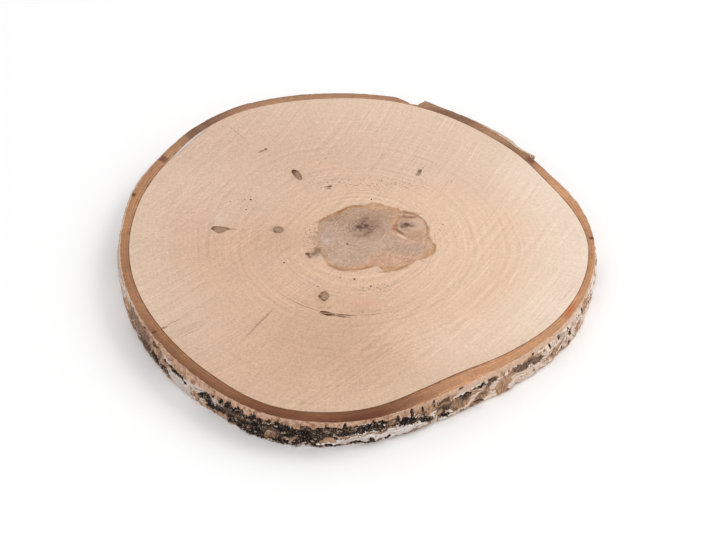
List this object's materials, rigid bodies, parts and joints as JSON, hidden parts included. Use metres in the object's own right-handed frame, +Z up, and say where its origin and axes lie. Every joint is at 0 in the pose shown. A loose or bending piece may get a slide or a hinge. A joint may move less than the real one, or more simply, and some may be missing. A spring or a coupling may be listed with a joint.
{
  "type": "birch wood slice",
  "caption": "Round birch trunk slice, sawn flat on both faces, with rough papery bark left on its rim, used as a board, stand or craft blank.",
  "frame": {"origin": "middle of the slice's bounding box, on the flat underside", "axes": "+Z up along the trunk, from the underside to the sawn top; +Y towards the side with the torn bark notch, +X to the right of it"},
  "size_m": [0.353, 0.361, 0.025],
  "materials": {
    "wood": "raw sawn end grain, pale beige, matt, with growth rings and fine saw marks",
    "bark": "birch bark: white and tan paper over dark split cork, red-brown where it is sawn"
  },
  "bodies": {
    "root": {"birch_slice": "wood"}
  },
  "joints": []
}
